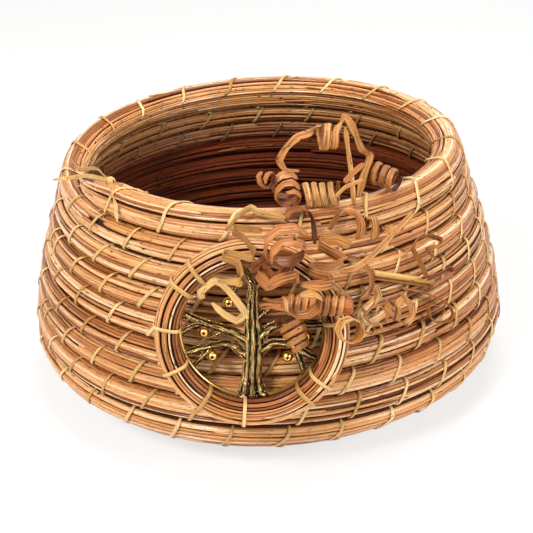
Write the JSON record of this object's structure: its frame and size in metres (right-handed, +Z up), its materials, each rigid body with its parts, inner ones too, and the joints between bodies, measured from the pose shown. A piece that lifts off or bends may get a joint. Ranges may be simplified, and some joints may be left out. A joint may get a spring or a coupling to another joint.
{
  "type": "coiled basket",
  "caption": "Round coiled basket of slender varnished stems sewn with raffia, with a brass tree in a stem hoop and curled tendrils on its front.",
  "frame": {"origin": "middle of the basket's base, on the surface it stands on", "axes": "+Z up out of the basket's mouth, -Y out of its front where the hoop with the tree sits, +X to the right as seen from the front"},
  "size_m": [0.2313, 0.2567, 0.1533],
  "materials": {
    "varnished_stems": "clear varnish over golden brown split stems",
    "raffia": "pale flat raffia strand, satin",
    "blackened_brass": "cast, blackened in the recesses and rubbed bright on the ridges",
    "bright_brass": "polished",
    "tan_tendril": "dried plant tendril, clear varnish",
    "brown_tendril": "dried plant tendril, red brown, clear varnish",
    "pale_tendril": "dried plant tendril, pale straw, clear varnish"
  },
  "bodies": {
    "root": {"base_coil": "varnished_stems", "bead_1": "bright_brass", "bead_2": "bright_brass", "bead_3": "bright_brass", "bead_4": "bright_brass", "bead_5": "bright_brass", "bead_6": "bright_brass", "bead_7": "bright_brass", "brass_tree": "blackened_brass", "coil_start": "varnished_stems", "curl_arch": "tan_tendril", "curl_arches": "tan_tendril", "curl_before_tree": "brown_tendril", "curl_brown_arch": "brown_tendril", "curl_brown_back": "brown_tendril", "curl_brown_fan": "brown_tendril", "curl_brown_wide": "brown_tendril", "curl_hook_right": "tan_tendril", "curl_ladder": "tan_tendril", "curl_low_one": "tan_tendril", "curl_low_two": "tan_tendril", "curl_mid_right": "tan_tendril", "curl_pale_lower": "pale_tendril", "curl_pale_rim": "pale_tendril", "curl_pale_upper": "pale_tendril", "curl_rim_right": "tan_tendril", "curl_ring_right": "tan_tendril", "curl_s_ribbon": "tan_tendril", "curl_small_left": "brown_tendril", "curl_small_right": "brown_tendril", "curl_teardrop": "tan_tendril", "hoop_back_coil": "varnished_stems", "hoop_front_coil": "varnished_stems", "hoop_wrap_1": "raffia", "hoop_wrap_2": "raffia", "hoop_wrap_3": "raffia", "hoop_wrap_4": "raffia", "hoop_wrap_5": "raffia", "hoop_wrap_6": "raffia", "hoop_wrap_7": "raffia", "hoop_wrap_8": "raffia", "hoop_wrap_9": "raffia", "raffia_knot": "raffia", "rim_coil": "varnished_stems", "rim_stitches": "raffia", "split_stick": "tan_tendril", "stem_lashing": "raffia", "tendril_long": "tan_tendril", "tendril_tall": "tan_tendril", "tendril_thin": "tan_tendril", "vine_stem": "tan_tendril", "wall_coil": "varnished_stems", "wall_stitches_01": "raffia", "wall_stitches_02": "raffia", "wall_stitches_03": "raffia", "wall_stitches_04": "raffia", "wall_stitches_05": "raffia", "wall_stitches_06": "raffia", "wall_stitches_07": "raffia", "wall_stitches_08": "raffia"}
  },
  "joints": []
}
